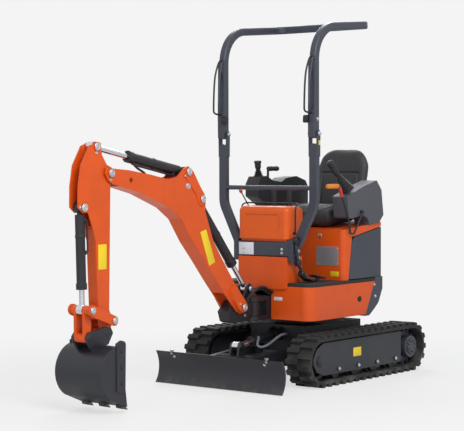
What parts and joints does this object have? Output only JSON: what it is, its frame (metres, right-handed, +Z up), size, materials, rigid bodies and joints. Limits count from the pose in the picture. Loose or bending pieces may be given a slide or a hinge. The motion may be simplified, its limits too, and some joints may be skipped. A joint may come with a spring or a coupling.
{
  "type": "mini excavator",
  "caption": "Compact tracked mini excavator: open seat under a folding roll bar, swing boom with arm and bucket, dozer blade in front.",
  "frame": {"origin": "on the ground under the middle of the whole machine's outline", "axes": "+X forward along the boom, +Y to the machine's left, +Z up"},
  "size_m": [2.9098, 0.99, 2.314],
  "materials": {
    "black_steel": "semi-matt",
    "dark_grey_paint": "satin",
    "track_rubber": "matt",
    "orange_paint": "satin",
    "floor_mat": "matt",
    "engine_iron": "rough",
    "orange_plastic": "satin",
    "seat_vinyl": "matt grain",
    "grey_plastic": "matt",
    "black_plastic": "matt",
    "chrome_rod": "polished",
    "bucket_paint": "semi-matt",
    "worn_steel": "worn"
  },
  "bodies": {
    "undercarriage": {"car_body": "black_steel", "slew_ring": "black_steel", "track_frames": "dark_grey_paint", "track_left": "track_rubber", "track_right": "track_rubber", "rollers": "black_steel", "sprockets": "dark_grey_paint"},
    "upper": {"main_frame": "black_steel", "skirt": "orange_paint", "counterweight": "dark_grey_paint", "floor": "floor_mat", "engine": "engine_iron", "seat_base": "orange_paint", "right_cover": "dark_grey_paint", "pedestal_lower": "orange_paint", "pedestal_band": "dark_grey_paint", "cowl": "orange_plastic", "rops_lower": "dark_grey_paint", "seat_cushion": "seat_vinyl", "seat_back": "seat_vinyl", "console_left": "grey_plastic", "console_right": "black_plastic", "joysticks": "black_plastic", "travel_levers": "black_steel", "lock_lever": "black_steel", "pedals": "black_steel"},
    "hood": {"hood": "dark_grey_paint"},
    "roll_bar": {"rops_upper": "dark_grey_paint"},
    "swing_bracket": {"swing_bracket": "black_steel"},
    "boom": {"boom": "orange_paint"},
    "boom_barrel": {"boom_barrel": "black_steel"},
    "boom_rod": {"boom_rod": "chrome_rod"},
    "arm": {"arm": "orange_paint"},
    "arm_barrel": {"arm_barrel": "black_steel"},
    "arm_rod": {"arm_rod": "chrome_rod"},
    "guide_links": {"guide_links": "orange_paint"},
    "bucket_link": {"bucket_link": "orange_paint"},
    "bucket_barrel": {"bucket_barrel": "black_steel"},
    "bucket_rod": {"bucket_rod": "chrome_rod"},
    "bucket": {"bucket": "bucket_paint", "bucket_teeth": "worn_steel"},
    "blade": {"blade": "bucket_paint", "blade_wings": "bucket_paint"},
    "blade_barrel": {"blade_barrel": "black_steel"},
    "blade_rod": {"blade_rod": "chrome_rod"}
  },
  "joints": [
    {"name": "slew", "type": "hinge", "parent": "undercarriage", "child": "upper", "pos_m": [-0.77, 0, 0.398], "axis": [0, 0, 1], "continuous": true},
    {"name": "boom_swing", "type": "hinge", "parent": "upper", "child": "swing_bracket", "pos_m": [-0.16, 0, 0.4735], "axis": [0, 0, 1], "range_deg": [-55, 55]},
    {"name": "boom_lift", "type": "hinge", "parent": "swing_bracket", "child": "boom", "pos_m": [0.018, 0, 0.497], "axis": [0, -1, 0], "range_deg": [-75, 35]},
    {"name": "arm_dig", "type": "hinge", "parent": "boom", "child": "arm", "pos_m": [1.206, 0, 1.338], "axis": [0, 1, 0], "range_deg": [-85, 35]},
    {"name": "bucket_curl", "type": "hinge", "parent": "arm", "child": "bucket", "pos_m": [1.243, 0, 0.439], "axis": [0, 1, 0], "range_deg": [-40, 125]},
    {"name": "blade_lift", "type": "hinge", "parent": "undercarriage", "child": "blade", "pos_m": [-0.392, 0, 0.19], "axis": [0, -1, 0], "range_deg": [-17, 20]},
    {"name": "rops_fold", "type": "hinge", "parent": "upper", "child": "roll_bar", "pos_m": [-0.34, 0, 1.575], "axis": [0, -1, 0], "range_deg": [-120, 0]},
    {"name": "hood_open", "type": "hinge", "parent": "upper", "child": "hood", "pos_m": [-1.02224, -0.362, 0.795], "axis": [0, 0, 1], "range_deg": [0, 100]},
    {"name": "boom_barrel_turn", "type": "hinge", "parent": "boom", "child": "boom_barrel", "pos_m": [0.398, 0, 1.176], "axis": [0, -1, 0], "range_deg": [-2.27, 4.29]},
    {"name": "boom_rod_slide", "type": "slide", "parent": "boom_barrel", "child": "boom_rod", "axis": [-0.6523, 0, -0.758], "range_m": [-0.08267, 0.17601]},
    {"name": "arm_barrel_turn", "type": "hinge", "parent": "boom", "child": "arm_barrel", "pos_m": [0.527, 0, 1.341], "axis": [0, -1, 0], "range_deg": [-3.26, 7.2]},
    {"name": "arm_rod_slide", "type": "slide", "parent": "arm_barrel", "child": "arm_rod", "axis": [0.983, 0, 0.1837], "range_m": [-0.21878, 0.09068]},
    {"name": "guide_turn", "type": "hinge", "parent": "arm", "child": "guide_links", "pos_m": [1.209, 0, 0.509], "axis": [0, -1, 0], "range_deg": [-89.68, 29.04]},
    {"name": "link_turn", "type": "hinge", "parent": "guide_links", "child": "bucket_link", "pos_m": [1.39, 0, 0.579], "axis": [0, -1, 0], "range_deg": [-4.17, 11.96]},
    {"name": "bucket_barrel_turn", "type": "hinge", "parent": "arm", "child": "bucket_barrel", "pos_m": [1.408, 0, 1.149], "axis": [0, -1, 0], "range_deg": [-3.2, 1.37]},
    {"name": "bucket_rod_slide", "type": "slide", "parent": "bucket_barrel", "child": "bucket_rod", "axis": [-0.0316, 0, -0.9995], "range_m": [-0.07767, 0.24059]},
    {"name": "blade_barrel_turn", "type": "hinge", "parent": "undercarriage", "child": "blade_barrel", "pos_m": [-0.408, 0, 0.292], "axis": [0, -1, 0], "range_deg": [-16.42, 19.23]},
    {"name": "blade_rod_slide", "type": "slide", "parent": "blade_barrel", "child": "blade_rod", "axis": [0.9933, 0, -0.1154], "range_m": [-0.03575, 0.03054]}
  ],
  "couplings": [
    {"joint": "boom_barrel_turn", "follows": "boom_lift", "ratio": -0.050494},
    {"joint": "boom_rod_slide", "follows": "boom_lift", "m_per_rad": -0.13369},
    {"joint": "arm_barrel_turn", "follows": "arm_dig", "ratio": -0.078761},
    {"joint": "arm_rod_slide", "follows": "arm_dig", "m_per_rad": 0.1468},
    {"joint": "guide_turn", "follows": "bucket_curl", "ratio": -0.71337},
    {"joint": "link_turn", "follows": "bucket_curl", "ratio": 0.091643},
    {"joint": "bucket_barrel_turn", "follows": "bucket_curl", "ratio": -0.021592},
    {"joint": "bucket_rod_slide", "follows": "bucket_curl", "m_per_rad": 0.10982},
    {"joint": "blade_barrel_turn", "follows": "blade_lift", "ratio": 0.93641},
    {"joint": "blade_rod_slide", "follows": "blade_lift", "m_per_rad": -0.09954}
  ]
}
